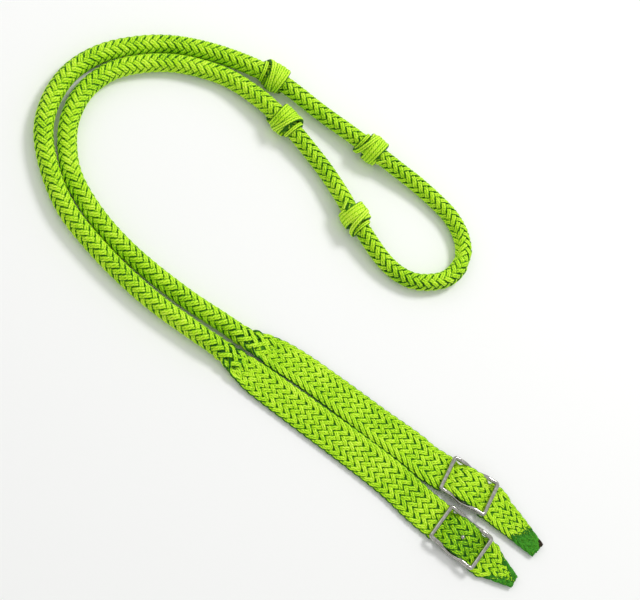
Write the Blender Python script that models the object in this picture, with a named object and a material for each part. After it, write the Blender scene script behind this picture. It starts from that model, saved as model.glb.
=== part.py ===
"""Knotted braided reins: one looped pair, a flat strap, a Conway buckle and a sealed tip at each end.

Metres, +Z up. The reins lie on the plane z = 0 with the origin at the middle of their plan.
"outer" is the run on the outside of the bend, "inner" the run beside it.
"""
import math

import bmesh
import bpy
from mathutils import Matrix, Vector

# ---- rope ---------------------------------------------------------------------------------
LEG_DIAMETER = 0.0156        # round braid from the strap to the rear knot
LOOP_DIAMETER = 0.0142       # round braid from the rear knots round the loop
CORE_DIAMETER = 0.0064       # laid core cord inside the round braid
CORE_CLEARANCE = 0.0004      # radial, core to braid
JOIN_GAP = 0.0003            # between the end faces of neighbouring lengths of braid
RING_STEP = 0.017            # spacing of the braid's rings along its route
TAPER_LENGTH = 0.016         # the braid thins inside each rear knot over this length

# ---- knots --------------------------------------------------------------------------------
KNOT_DIAMETER = 0.0240
KNOT_LENGTH = 0.0250
KNOT_END_WALL = 0.0016       # wall of the wrap where it meets the braid
KNOT_CLEARANCE = 0.0004      # radial, wrap to braid
KNOT_RINGS = 6
KNOT_RISE_REACH = 0.075      # the braid comes down off each knot over this length

# ---- straps -------------------------------------------------------------------------------
STRAP_WIDTH = 0.0340         # at the buckle
STRAP_ROOT_WIDTH = 0.0290    # where the braid has just gone flat
STRAP_THICKNESS = 0.0068
STRAP_EDGE_POWER = 2.7       # 2 is an ellipse, higher is squarer
FLATTEN_LENGTH = 0.040       # round braid to flat braid
OUTER_STRAP_ROLL = 9.0       # degrees, its inner edge leans on the inner strap

# ---- buckles ------------------------------------------------------------------------------
BUCKLE_LENGTH = 0.0470
BUCKLE_WIDTH = 0.0350
FRAME_BAR = 0.0038           # diameter of the bent frame
FRAME_CORNER = 0.0030        # corner radius on the frame's centre line
CENTRE_BAR = 0.0034
CENTRE_BAR_DROP = 0.0045     # centre bar's axis below the end bars' axes
FRAME_CLEARANCE = 0.0003     # frame to braid, and bar to rail
STUD_DIAMETER = 0.0034
STUD_HOLE_CLEARANCE = 0.0004
OUTER_STUD_PROUD = 0.0010    # stud's tip above the braid
INNER_STUD_PROUD = -0.0008   # sunk in the braid
BUCKLE_MARGIN = 0.0055       # braid that stays in line with the buckle past each end bar

# ---- tips ---------------------------------------------------------------------------------
SEAL_LENGTH = 0.026
SEAL_THICKNESS = 0.0064
OUTER_TIP_WIDTH = 0.0120
INNER_TIP_WIDTH = 0.0160
TAPER_FROM = 0.6             # share of the braid past the buckle that keeps its full width

# ---- hinges -------------------------------------------------------------------------------
HINGE_OFFSET = 0.0004        # hinge axis outside the braid's surface

# ---- places -------------------------------------------------------------------------------
OUTER_BUCKLE = {"at": (0.1375, -0.1980), "heading": -38.5, "roll": OUTER_STRAP_ROLL}
INNER_BUCKLE = {"at": (0.1490, -0.1545), "heading": -31.0, "roll": 0.0}
OUTER_TIP = (0.185, -0.2338)
INNER_TIP = (0.2096, -0.207)

OUTER_STRAP_ROUTE = [(0.081, -0.150), (0.048, -0.125), (0.0123, -0.0994), (-0.0213, -0.0752), (-0.0443, -0.0583)]
OUTER_JUNCTION = (-0.060, -0.046)
OUTER_LEG_ROUTE = [(-0.083, -0.031), (-0.125, -0.001), (-0.1655, 0.0383), (-0.193, 0.076), (-0.208, 0.131),
                   (-0.203, 0.163), (-0.186, 0.193), (-0.160, 0.214), (-0.129, 0.226), (-0.098, 0.231),
                   (-0.067, 0.229), (-0.037, 0.221)]
OUTER_REAR_KNOT = (-0.005, 0.207)
OUTER_HINGE = (0.044, 0.175)
OUTER_FRONT_KNOT = (0.083, 0.146)
LOOP_ROUTE = [(0.105, 0.131), (0.125, 0.118), (0.142, 0.104), (0.155, 0.090), (0.163, 0.073), (0.164, 0.056),
              (0.157, 0.041), (0.145, 0.031), (0.130, 0.027), (0.115, 0.027), (0.100, 0.033), (0.085, 0.046)]
INNER_FRONT_KNOT = (0.061, 0.081)
INNER_SPAN_ROUTE = [(0.050, 0.103), (0.038, 0.124)]
INNER_HINGE = (0.018, 0.149)
INNER_REAR_KNOT = (0.002, 0.166)
INNER_LEG_ROUTE = [(-0.020, 0.187), (-0.046, 0.204), (-0.072, 0.211), (-0.097, 0.213), (-0.124, 0.209),
                   (-0.150, 0.199), (-0.173, 0.178), (-0.186, 0.150), (-0.188, 0.121), (-0.183, 0.097),
                   (-0.1632, 0.0632), (-0.136, 0.0335), (-0.092, -0.001), (-0.062, -0.020)]
INNER_JUNCTION = (-0.041, -0.033)
INNER_STRAP_ROUTE = [(-0.0247, -0.0396), (0.0018, -0.0534), (0.0350, -0.0758), (0.070, -0.101), (0.103, -0.124)]

# ---- mesh fineness ------------------------------------------------------------------------
BRAID_SIDES = 12
CORE_SIDES = 8
BAR_SIDES = 8
SAMPLES_PER_SPAN = 24


# ---- materials ----------------------------------------------------------------------------
def material(name, colour, roughness, metallic=0.0):
    """A Principled material in linear colour."""
    made = bpy.data.materials.new(name)
    made.use_nodes = True
    shader = made.node_tree.nodes["Principled BSDF"]
    shader.inputs["Base Color"].default_value = (*colour, 1.0)
    shader.inputs["Roughness"].default_value = roughness
    shader.inputs["Metallic"].default_value = metallic
    made.diffuse_color = (*colour, 1.0)
    return made


# ---- routes -------------------------------------------------------------------------------
def smooth(points):
    """Dense points on a centripetal Catmull-Rom curve through the given ones."""
    ends = [points[0] * 2 - points[1], *points, points[-1] * 2 - points[-2]]
    dense = []
    for a, b, c, d in zip(ends, ends[1:], ends[2:], ends[3:]):
        knots = [0.0]
        for p, q in ((a, b), (b, c), (c, d)):
            knots.append(knots[-1] + max((q - p).length, 1e-6) ** 0.5)
        for k in range(SAMPLES_PER_SPAN):
            t = knots[1] + (knots[2] - knots[1]) * k / SAMPLES_PER_SPAN
            ab = a.lerp(b, (t - knots[0]) / (knots[1] - knots[0]))
            bc = b.lerp(c, (t - knots[1]) / (knots[2] - knots[1]))
            cd = c.lerp(d, (t - knots[2]) / (knots[3] - knots[2]))
            abc = ab.lerp(bc, (t - knots[0]) / (knots[2] - knots[0]))
            bcd = bc.lerp(cd, (t - knots[1]) / (knots[3] - knots[1]))
            dense.append(abc.lerp(bcd, (t - knots[1]) / (knots[2] - knots[1])))
    dense.append(points[-1].copy())
    return dense


class Route:
    """A smooth plan curve measured by station, the distance along it."""

    def __init__(self, points):
        self.points = smooth([Vector((x, y, 0.0)) for x, y in points])
        self.stations = [0.0]
        for p, q in zip(self.points, self.points[1:]):
            self.stations.append(self.stations[-1] + (q - p).length)
        self.length = self.stations[-1]

    def at(self, station):
        """Plan point and unit direction at a station."""
        station = min(max(station, 0.0), self.length)
        high = next((i for i, s in enumerate(self.stations) if s >= station and i > 0), len(self.stations) - 1)
        low = high - 1
        share = (station - self.stations[low]) / (self.stations[high] - self.stations[low])
        before = self.points[max(low - 1, 0)]
        after = self.points[min(high + 1, len(self.points) - 1)]
        return self.points[low].lerp(self.points[high], share), (after - before).normalized()

    def station_of(self, place):
        """Station of the route's point nearest to a plan place."""
        target = Vector((*place, 0.0))
        nearest = min(range(len(self.points)), key=lambda i: (self.points[i] - target).length)
        return self.stations[nearest]


def ease(share):
    """Smooth step from 0 to 1."""
    share = min(max(share, 0.0), 1.0)
    return share * share * (3.0 - 2.0 * share)


def mix(low, high, share):
    return low + (high - low) * share


# ---- buckle frames ------------------------------------------------------------------------
def section(width, thickness, power, sides):
    """Outline as (left, up) pairs, a circle to a rounded strap, with a flat at its top and bottom."""
    outline = []
    for i in range(sides):
        angle = math.tau * (i + 0.5) / sides
        left, up = (math.copysign(abs(f(angle)) ** (2.0 / power), f(angle)) for f in (math.cos, math.sin))
        outline.append((left * width / 2, up * thickness / 2))
    return outline


def rest_height(outline, roll):
    """Height of a section's centre when it lies on the plane z = 0, rolled about its route."""
    angle = math.radians(roll)
    return -min(left * math.sin(angle) + up * math.cos(angle) for left, up in outline)


FLAT = section(STRAP_WIDTH, STRAP_THICKNESS, STRAP_EDGE_POWER, BRAID_SIDES)
JOIN_X = BUCKLE_LENGTH / 2 + BUCKLE_MARGIN      # ends of the braid held by the buckle


def buckle_matrix(place):
    """Frame at a buckle's centre: X along the strap to its tip, Y to its left, Z off its face."""
    height = rest_height(FLAT, place["roll"])
    turn = Matrix.Rotation(math.radians(place["heading"]), 4, "Z")
    lean = Matrix.Rotation(math.radians(place["roll"]), 4, "X")
    return Matrix.Translation((*place["at"], height)) @ turn @ lean


def plan(matrix, x):
    """Plan place of a point on a buckle's centre line."""
    return tuple((matrix @ Vector((x, 0.0, 0.0)))[:2])


OUTER_FRAME = buckle_matrix(OUTER_BUCKLE)
INNER_FRAME = buckle_matrix(INNER_BUCKLE)
ROUTE = Route([plan(OUTER_FRAME, -JOIN_X), plan(OUTER_FRAME, -JOIN_X - 0.012), *OUTER_STRAP_ROUTE,
               OUTER_JUNCTION, *OUTER_LEG_ROUTE, OUTER_REAR_KNOT, OUTER_HINGE, OUTER_FRONT_KNOT, *LOOP_ROUTE,
               INNER_FRONT_KNOT, *INNER_SPAN_ROUTE, INNER_HINGE, INNER_REAR_KNOT, *INNER_LEG_ROUTE,
               INNER_JUNCTION, *INNER_STRAP_ROUTE, plan(INNER_FRAME, -JOIN_X - 0.012),
               plan(INNER_FRAME, -JOIN_X)])
S_OUTER_JUNCTION = ROUTE.station_of(OUTER_JUNCTION)
S_OUTER_REAR = ROUTE.station_of(OUTER_REAR_KNOT)
S_OUTER_HINGE = ROUTE.station_of(OUTER_HINGE)
S_OUTER_FRONT = ROUTE.station_of(OUTER_FRONT_KNOT)
S_INNER_FRONT = ROUTE.station_of(INNER_FRONT_KNOT)
S_INNER_HINGE = ROUTE.station_of(INNER_HINGE)
S_INNER_REAR = ROUTE.station_of(INNER_REAR_KNOT)
S_INNER_JUNCTION = ROUTE.station_of(INNER_JUNCTION)
KNOT_STATIONS = (S_OUTER_REAR, S_OUTER_FRONT, S_INNER_FRONT, S_INNER_REAR)


# ---- the braid along the route ------------------------------------------------------------
def flatness(station):
    """0 on the round braid, 1 on the flat strap."""
    outward = max(S_OUTER_JUNCTION - station, station - S_INNER_JUNCTION)
    return ease(outward / FLATTEN_LENGTH)


def round_diameter(station):
    """The round braid's diameter: the legs' up to the rear knots, the loop's between them."""
    inside = min(station - S_OUTER_REAR, S_INNER_REAR - station)
    return mix(LEG_DIAMETER, LOOP_DIAMETER, ease(inside / TAPER_LENGTH + 0.5))


def roll_at(station):
    """The outer strap leans over as it flattens."""
    return OUTER_STRAP_ROLL * ease((S_OUTER_JUNCTION - station) / (2.5 * FLATTEN_LENGTH))


def strap_width(station):
    """The flat braid widens from its root to the buckle."""
    outer = (S_OUTER_JUNCTION - station) / S_OUTER_JUNCTION
    inner = (station - S_INNER_JUNCTION) / (ROUTE.length - S_INNER_JUNCTION)
    return mix(STRAP_ROOT_WIDTH, STRAP_WIDTH, min(max(outer, inner), 1.0))


def outline_at(station):
    flat = flatness(station)
    width = mix(round_diameter(station), strap_width(station), flat)
    thickness = mix(round_diameter(station), STRAP_THICKNESS, flat)
    return section(width, thickness, mix(2.0, STRAP_EDGE_POWER, flat), BRAID_SIDES)


def knot_rise(station):
    """How far the knots hold the braid off the plane."""
    full = (KNOT_DIAMETER - round_diameter(station)) / 2
    share = sum(math.cos(math.pi / 2 * min(abs(station - k) / KNOT_RISE_REACH, 1.0)) ** 2 for k in KNOT_STATIONS)
    return full * min(share, 1.0)


def centre_height(station):
    return rest_height(outline_at(station), roll_at(station)) + knot_rise(station)


def ring_frame(station):
    """Centre, direction, left and up of the braid's ring at a station."""
    place, forward = ROUTE.at(station)
    centre = Vector((place.x, place.y, centre_height(station)))
    left = Vector((-forward.y, forward.x, 0.0))
    up = Vector((0.0, 0.0, 1.0))
    lean = math.radians(-roll_at(station))   # the outer strap's route runs from its tip
    return centre, forward, left * math.cos(lean) + up * math.sin(lean), up * math.cos(lean) - left * math.sin(lean)


def ring(station, outline):
    """Points of a closed outline set square to the route."""
    centre, _, left, up = ring_frame(station)
    return [centre + left * x + up * z for x, z in outline]


def cut_by(points, station, plane_point, plane_normal):
    """Slide a ring's points along the route's direction on to a plane."""
    forward = ROUTE.at(station)[1]
    return [p + forward * ((plane_point - p).dot(plane_normal) / forward.dot(plane_normal)) for p in points]


def stations_between(start, end):
    """Ring stations, with those that the knots also use."""
    count = max(2, round((end - start) / RING_STEP))
    found = [start + (end - start) * i / count for i in range(count + 1)]
    for knot in KNOT_STATIONS:
        low, high = knot - KNOT_LENGTH / 2, knot + KNOT_LENGTH / 2
        if start < low and high < end:
            found = [s for s in found if not low - RING_STEP / 3 < s < high + RING_STEP / 3]
            found += [mix(low, high, i / KNOT_RINGS) for i in range(KNOT_RINGS + 1)]
    return sorted(found)


# ---- solids -------------------------------------------------------------------------------
def new_object(name, mesh_maker, finish):
    """A named object from a bmesh, outward normals, smooth where it is round."""
    bm = mesh_maker
    bmesh.ops.recalc_face_normals(bm, faces=bm.faces)
    mesh = bpy.data.meshes.new(name)
    bm.to_mesh(mesh)
    bm.free()
    mesh.shade_smooth()
    mesh.set_sharp_from_angle(angle=math.radians(40))
    made = bpy.data.objects.new(name, mesh)
    bpy.context.scene.collection.objects.link(made)
    made.data.materials.append(finish)
    return made


def loft(rings, bore_rings=None):
    """A solid through rings of equal count, or a tube when bore rings are given."""
    bm = bmesh.new()
    outer = [[bm.verts.new(p) for p in points] for points in rings]
    skin_rings(bm, outer)
    if bore_rings is None:
        bm.faces.new(outer[0])
        bm.faces.new(outer[-1])
        return bm
    inner = [[bm.verts.new(p) for p in points] for points in bore_rings]
    skin_rings(bm, inner)
    for rim, hole in ((outer[0], inner[0]), (outer[-1], inner[-1])):
        for i in range(len(rim)):
            j = (i + 1) % len(rim)
            bm.faces.new((rim[i], rim[j], hole[j], hole[i]))
    return bm


def skin_rings(bm, rings):
    for low, high in zip(rings, rings[1:]):
        for i in range(len(low)):
            j = (i + 1) % len(low)
            bm.faces.new((low[i], low[j], high[j], high[i]))


def circle(diameter, sides):
    return section(diameter, diameter, 2.0, sides)


def braid_length(name, start, end, finish, plane=None):
    """Round braid with its core between two stations; plane cuts the ends at the loop's hinge."""
    stations = stations_between(start, end)
    bore = circle(CORE_DIAMETER + 2 * CORE_CLEARANCE, BRAID_SIDES)
    core = circle(CORE_DIAMETER, CORE_SIDES)
    skins = {"braid": [ring(s, outline_at(s)) for s in stations], "bore": [ring(s, bore) for s in stations],
             "core": [ring(s, core) for s in stations]}
    for end_index, hinge in plane or ():
        for points in skins.values():
            points[end_index] = cut_by(points[end_index], stations[end_index], *hinge)
    new_object(f"{name}_braid", loft(skins["braid"], skins["bore"]), finish["braid"])
    new_object(f"{name}_core", loft(skins["core"]), finish["core"])


def knot(name, station, finish):
    """A wrap round the braid, fullest at its middle."""
    outside = []
    inside = []
    for i in range(KNOT_RINGS + 1):
        share = i / KNOT_RINGS
        at = station + (share - 0.5) * KNOT_LENGTH
        inner = round_diameter(at) + 2 * KNOT_CLEARANCE
        swell = math.sin(math.pi * share) ** 0.6
        outer = mix(inner + 2 * KNOT_END_WALL, KNOT_DIAMETER, swell)
        outside.append(ring(at, circle(outer, BRAID_SIDES)))
        inside.append(ring(at, circle(inner, BRAID_SIDES)))
    new_object(name, loft(outside, inside), finish["braid"])


def strap(name, start, end, finish):
    """Braid that goes from round at its junction to flat at its buckle."""
    count = round(abs(end - start) / RING_STEP)
    stations = [mix(start, end, i / count) for i in range(count + 1)]
    new_object(name, loft([ring(s, outline_at(s)) for s in stations]), finish["braid"])


# ---- buckle -------------------------------------------------------------------------------
HALF_STRAP = STRAP_THICKNESS / 2
END_BAR_Z = HALF_STRAP + FRAME_CLEARANCE + FRAME_BAR / 2
CENTRE_BAR_Z = END_BAR_Z - CENTRE_BAR_DROP
RAIL_Y = (BUCKLE_WIDTH - FRAME_BAR) / 2
END_BAR_X = (BUCKLE_LENGTH - FRAME_BAR) / 2
HELD_WIDTH = 2 * (RAIL_Y - FRAME_BAR / 2 - FRAME_CLEARANCE)
BULGE_RISE = CENTRE_BAR_Z + CENTRE_BAR / 2 + FRAME_CLEARANCE + HALF_STRAP
DIP_X = END_BAR_X - FRAME_CORNER - FRAME_BAR     # the rails dip between these stations


def rail_height(x):
    """The rails step down from the end bars to the centre bar."""
    return mix(CENTRE_BAR_Z, END_BAR_Z, ease(abs(x) / DIP_X))


def frame_path():
    """Centre line of the bent frame: rounded corners, rails dipping to the centre bar."""
    path = []
    steps = 3
    for sx, sy, first in ((1, 1, 0), (-1, 1, 90), (-1, -1, 180), (1, -1, 270)):
        for i in range(steps + 1):
            angle = math.radians(first + 90 * i / steps)
            x = sx * (END_BAR_X - FRAME_CORNER) + FRAME_CORNER * math.cos(angle)
            y = sy * (RAIL_Y - FRAME_CORNER) + FRAME_CORNER * math.sin(angle)
            path.append(Vector((x, y, END_BAR_Z)))
        if first in (0, 180):
            for share in (0.9, 0.65, 0.4, 0.2, 0.0, -0.2, -0.4, -0.65, -0.9):
                x = sx * share * DIP_X
                path.append(Vector((x, sy * RAIL_Y, rail_height(x))))
    return path


def frame_solid(matrix):
    """A round bar swept round the closed path."""
    path = frame_path()
    bm = bmesh.new()
    rings = []
    for i, centre in enumerate(path):
        forward = (path[(i + 1) % len(path)] - path[i - 1]).normalized()
        side = forward.cross(Vector((0.0, 0.0, 1.0))).normalized()
        up = side.cross(forward)
        rings.append([bm.verts.new(matrix @ (centre + side * x + up * z)) for x, z in circle(FRAME_BAR, BAR_SIDES)])
    skin_rings(bm, [*rings, rings[0]])
    return bm


def bar_solid(matrix, start, end, diameter, sides=BAR_SIDES):
    """A round bar between two points of the buckle's frame."""
    along = (end - start).normalized()
    side = along.orthogonal().normalized()
    other = along.cross(side)
    return loft([[matrix @ (p + side * x + other * z) for x, z in circle(diameter, sides)] for p in (start, end)])


def stud_solid(matrix, foot, tip):
    """A pin with a domed tip."""
    radius = STUD_DIAMETER / 2
    levels = ((foot, 1.0), (tip - radius * 0.8, 1.0), (tip - radius * 0.3, 0.8), (tip, 0.35))
    return loft([[matrix @ Vector((x, y, level)) for x, y in circle(STUD_DIAMETER * share, CORE_SIDES)]
                 for level, share in levels])


def held_braid(name, matrix, finish):
    """Strap threaded under one end bar, over the centre bar and under the other, with the stud's hole."""
    inner_edge = END_BAR_X - FRAME_BAR
    shares = (-1.0, -0.93, -0.86, -0.62, -0.45, -0.28, -0.12, 0.12, 0.28, 0.45, 0.62, 0.86, 0.93, 1.0)
    rings = []
    for share in shares:
        x = share * JOIN_X
        rise = BULGE_RISE * ease((inner_edge - abs(x)) / (inner_edge - FRAME_BAR))
        nip = ease((JOIN_X - abs(x)) / (BUCKLE_MARGIN - FRAME_CLEARANCE))
        width = mix(STRAP_WIDTH, HELD_WIDTH, nip)
        outline = section(width, STRAP_THICKNESS, STRAP_EDGE_POWER, BRAID_SIDES)
        x -= math.copysign(JOIN_GAP / 2, x) if abs(share) == 1.0 else 0.0
        rings.append([matrix @ Vector((x, left, up + rise)) for left, up in outline])
    braid = new_object(name, loft(rings), finish["braid"])
    hole = new_object(f"{name}_stud_hole", bar_solid(matrix, Vector((0, 0, -STRAP_WIDTH)), Vector((0, 0, STRAP_WIDTH)),
                                                     STUD_DIAMETER + 2 * STUD_HOLE_CLEARANCE), finish["braid"])
    hole.hide_render = True
    hole.display_type = "WIRE"
    cut = braid.modifiers.new("stud_hole", "BOOLEAN")
    cut.operation = "DIFFERENCE"
    cut.object = hole


def buckle(side, matrix, stud_proud, finish):
    new_object(f"{side}_buckle_frame", frame_solid(matrix), finish["nickel"])
    reach = RAIL_Y - FRAME_BAR / 2 - FRAME_CLEARANCE
    new_object(f"{side}_buckle_centre_bar", bar_solid(matrix, Vector((0, -reach, CENTRE_BAR_Z)),
                                                      Vector((0, reach, CENTRE_BAR_Z)), CENTRE_BAR), finish["nickel"])
    foot = CENTRE_BAR_Z + CENTRE_BAR / 2 + FRAME_CLEARANCE
    tip = BULGE_RISE + HALF_STRAP + stud_proud
    new_object(f"{side}_buckle_stud", stud_solid(matrix, foot, tip), finish["nickel"])
    held_braid(f"{side}_buckle_braid", matrix, finish)


# ---- tip ----------------------------------------------------------------------------------
def tip(side, matrix, end_place, end_width, finish):
    """Flat braid past the buckle, then the sealed end that narrows to its blunt tip."""
    start = Vector(plan(matrix, JOIN_X))
    ahead = Vector(plan(matrix, JOIN_X + 0.010))
    line = Route([tuple(start), tuple(ahead), end_place])
    seal_start = line.length - SEAL_LENGTH
    heading = line.at(0.0)[1]

    def tip_ring(station):
        place, forward = line.at(station)
        done = station / line.length
        taper_start = seal_start * TAPER_FROM
        narrow = min(max((station - taper_start) / (line.length - taper_start), 0.0), 1.0)
        width = mix(STRAP_WIDTH, end_width, narrow)
        thickness = mix(STRAP_THICKNESS, SEAL_THICKNESS, ease(done))
        outline = section(width, thickness, STRAP_EDGE_POWER, BRAID_SIDES)
        roll = math.degrees(matrix.to_euler("XYZ").x) if station == 0.0 else side_roll * (1 - ease(2 * done))
        centre = Vector((place.x, place.y, rest_height(outline, roll)))
        flat_left = Vector((-forward.y, forward.x, 0.0))
        lean = math.radians(roll)
        left = flat_left * math.cos(lean) + Vector((0, 0, math.sin(lean)))
        up = Vector((0, 0, math.cos(lean))) - flat_left * math.sin(lean)
        return [centre + left * x + up * z for x, z in outline]

    side_roll = math.degrees(math.asin((matrix.to_3x3() @ Vector((0, 1, 0))).z))
    first = [matrix @ Vector((JOIN_X + JOIN_GAP / 2, x, z)) for x, z in FLAT]
    inner = [mix(0.0, seal_start, i / 4) for i in range(1, 5)]
    new_object(f"{side}_tip_braid", loft([first, *(tip_ring(s) for s in inner)]), finish["braid"])
    sealed = [mix(seal_start + JOIN_GAP, line.length, i / 5) for i in range(6)]
    new_object(f"{side}_tip_seal", loft([tip_ring(s) for s in sealed]), finish["seal"])


# ---- the whole ----------------------------------------------------------------------------
def loop_hinge():
    """A level axis across both runs, just above the braid; its upright plane cuts them."""
    outer, inner = (ring_frame(s)[0] for s in (S_OUTER_HINGE, S_INNER_HINGE))
    top = max(outer.z, inner.z) + LOOP_DIAMETER / 2 + HINGE_OFFSET
    axis = Vector((outer.x - inner.x, outer.y - inner.y, 0.0)).normalized()
    return Vector((inner.x, inner.y, top)), axis


def main():
    for old in list(bpy.data.objects):
        bpy.data.objects.remove(old, do_unlink=True)
    finish = {
        "braid": material("green_nylon_braid", (0.33, 0.66, 0.02), 0.75),
        "core": material("white_core_cord", (0.75, 0.75, 0.70), 0.8),
        "seal": material("dark_green_sealed_end", (0.05, 0.25, 0.01), 0.5),
        "nickel": material("nickel_plate", (0.78, 0.77, 0.74), 0.18, 1.0),
    }
    point, axis = loop_hinge()
    normal = axis.cross(Vector((0, 0, 1)))
    back = (point - normal * (JOIN_GAP / 2), normal)
    front = (point + normal * (JOIN_GAP / 2), normal)
    half = JOIN_GAP / 2
    braid_length("outer_leg", S_OUTER_JUNCTION + half, S_OUTER_HINGE, finish, [(-1, back)])
    braid_length("loop", S_OUTER_HINGE, S_INNER_HINGE, finish, [(0, front), (-1, front)])
    braid_length("inner_leg", S_INNER_HINGE, S_INNER_JUNCTION - half, finish, [(0, back)])
    for name, station in zip(("outer_rear_knot", "outer_front_knot", "inner_front_knot", "inner_rear_knot"),
                             KNOT_STATIONS):
        knot(name, station, finish)
    strap("outer_strap_braid", S_OUTER_JUNCTION - half, half, finish)
    strap("inner_strap_braid", S_INNER_JUNCTION + half, ROUTE.length - half, finish)
    buckle("outer", OUTER_FRAME, OUTER_STUD_PROUD, finish)
    buckle("inner", INNER_FRAME, INNER_STUD_PROUD, finish)
    tip("outer", OUTER_FRAME, OUTER_TIP, OUTER_TIP_WIDTH, finish)
    tip("inner", INNER_FRAME, INNER_TIP, INNER_TIP_WIDTH, finish)


main()
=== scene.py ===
"""Looks of the knotted braided reins: lime nylon braid, nickel Conway buckles, sealed tips.

Metres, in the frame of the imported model. Stations run along the reins' centre line from the outer
buckle's braid, round the loop, to the inner buckle's braid.
"""
import math

import bmesh
import bpy
import numpy as np
from mathutils import Matrix, Vector


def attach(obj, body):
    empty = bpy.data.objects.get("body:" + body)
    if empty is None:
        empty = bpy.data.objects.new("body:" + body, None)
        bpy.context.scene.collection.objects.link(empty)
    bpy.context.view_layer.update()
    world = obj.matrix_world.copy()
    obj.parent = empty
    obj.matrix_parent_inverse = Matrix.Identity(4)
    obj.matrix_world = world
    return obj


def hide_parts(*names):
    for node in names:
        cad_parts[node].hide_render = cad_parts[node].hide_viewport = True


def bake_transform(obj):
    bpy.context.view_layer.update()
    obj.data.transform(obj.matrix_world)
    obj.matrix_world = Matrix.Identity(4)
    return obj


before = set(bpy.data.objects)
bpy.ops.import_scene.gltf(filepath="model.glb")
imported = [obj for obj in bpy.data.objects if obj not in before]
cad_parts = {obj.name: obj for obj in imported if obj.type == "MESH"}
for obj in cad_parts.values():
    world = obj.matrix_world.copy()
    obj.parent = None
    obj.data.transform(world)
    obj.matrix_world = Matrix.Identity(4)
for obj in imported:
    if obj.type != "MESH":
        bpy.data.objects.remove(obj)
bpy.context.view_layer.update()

# ---- sizes repeated from the model --------------------------------------------------------
LEG_DIAMETER = 0.0156
LOOP_DIAMETER = 0.0142
TAPER_LENGTH = 0.016
KNOT_DIAMETER = 0.0240
KNOT_LENGTH = 0.0250
KNOT_RISE_REACH = 0.075
STRAP_WIDTH = 0.0340
STRAP_ROOT_WIDTH = 0.0290
STRAP_THICKNESS = 0.0068
STRAP_EDGE_POWER = 2.7
FLATTEN_LENGTH = 0.040
OUTER_STRAP_ROLL = 9.0
BUCKLE_LENGTH = 0.0470
BUCKLE_WIDTH = 0.0350
FRAME_BAR = 0.0038
FRAME_CORNER = 0.0022
CENTRE_BAR = 0.0034
CENTRE_BAR_DROP = 0.0045
CLEARANCE = 0.0003
DIP_MARGIN = 0.0040          # level wire between an end bar and the start of the dip
STUD_RADIUS = 0.0019
BUCKLE_MARGIN = 0.0055
SEAL_LENGTH = 0.026
OUTER_TIP_WIDTH = 0.0120
INNER_TIP_WIDTH = 0.0160
TAPER_POWER = 1.15
TIP_WIDTH = 0.0315
TIP_SETTLE = 0.009            # the tip takes its own width and line this far past the buckle

# ---- route, the model's own points --------------------------------------------------------
OUTER_BUCKLE = {"at": (0.1375, -0.1980), "heading": -38.5, "roll": OUTER_STRAP_ROLL, "turn": -1}
INNER_BUCKLE = {"at": (0.1490, -0.1545), "heading": -31.0, "roll": 0.0, "turn": 1}
OUTER_TIP = (0.185, -0.2338)
INNER_TIP = (0.2096, -0.207)
OUTER_STRAP_ROUTE = [(0.081, -0.150), (0.048, -0.125), (0.0123, -0.0994), (-0.0213, -0.0752),
                     (-0.0443, -0.0583)]
OUTER_JUNCTION = (-0.060, -0.046)
OUTER_LEG_ROUTE = [(-0.083, -0.031), (-0.125, -0.001), (-0.1655, 0.0383), (-0.193, 0.076), (-0.208, 0.131),
                   (-0.203, 0.163), (-0.186, 0.193), (-0.160, 0.214), (-0.129, 0.226), (-0.098, 0.231),
                   (-0.067, 0.229), (-0.037, 0.221)]
OUTER_REAR_KNOT = (-0.005, 0.207)
OUTER_HINGE = (0.044, 0.175)
OUTER_FRONT_KNOT = (0.083, 0.146)
LOOP_ROUTE = [(0.105, 0.131), (0.125, 0.118), (0.142, 0.104), (0.155, 0.090), (0.163, 0.073), (0.164, 0.056),
              (0.157, 0.041), (0.145, 0.031), (0.130, 0.027), (0.115, 0.027), (0.100, 0.033), (0.085, 0.046)]
INNER_FRONT_KNOT = (0.061, 0.081)
INNER_SPAN_ROUTE = [(0.050, 0.103), (0.038, 0.124)]
INNER_HINGE = (0.018, 0.149)
INNER_REAR_KNOT = (0.002, 0.166)
INNER_LEG_ROUTE = [(-0.020, 0.187), (-0.046, 0.204), (-0.072, 0.211), (-0.097, 0.213), (-0.124, 0.209),
                   (-0.150, 0.199), (-0.173, 0.178), (-0.186, 0.150), (-0.188, 0.121), (-0.183, 0.097),
                   (-0.1632, 0.0632), (-0.136, 0.0335), (-0.092, -0.001), (-0.062, -0.020)]
INNER_JUNCTION = (-0.041, -0.033)
INNER_STRAP_ROUTE = [(-0.0247, -0.0396), (0.0018, -0.0534), (0.0350, -0.0758), (0.070, -0.101),
                     (0.103, -0.124)]

# ---- braid --------------------------------------------------------------------------------
STRANDS = 12                 # bundles in the braid, half each way round
STRAND_WIDTH = 0.0054        # a bundle of flat-laid yarns
STRAND_THICKNESS = 0.0027
YARNS = 2
YARN_RIDGE = 0.00035
ROUND_LEAD = 0.0430          # length for one turn of a strand round the leg
FLAT_LEAD = 0.0880           # length for one strand to cross the strap and come back
ROUND_PROUD = 0.0003         # strand crests outside the model's braid
ROUND_WEAVE = 0.00105        # half the step between over and under
FLAT_WEAVE = 0.00115
FLAT_NARROWING = 0.84        # a bundle is packed tighter in the strap
EARLY_FLAT = 0.018           # the strands start to spread this far before the strap
MIDDLE_WIDTH = 0.0318        # braid over the centre bar, spread over the rails
PINCHED_WIDTH = 0.0292       # braid between the rails, just inside an end bar
STEP = 0.0012                # sampling along the route


# ---- small helpers ------------------------------------------------------------------------
def ease(share):
    """Smooth step from 0 to 1, on numbers or arrays."""
    share = np.clip(share, 0.0, 1.0)
    return share * share * (3.0 - 2.0 * share)


def mix(low, high, share):
    return low + (high - low) * share


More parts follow.
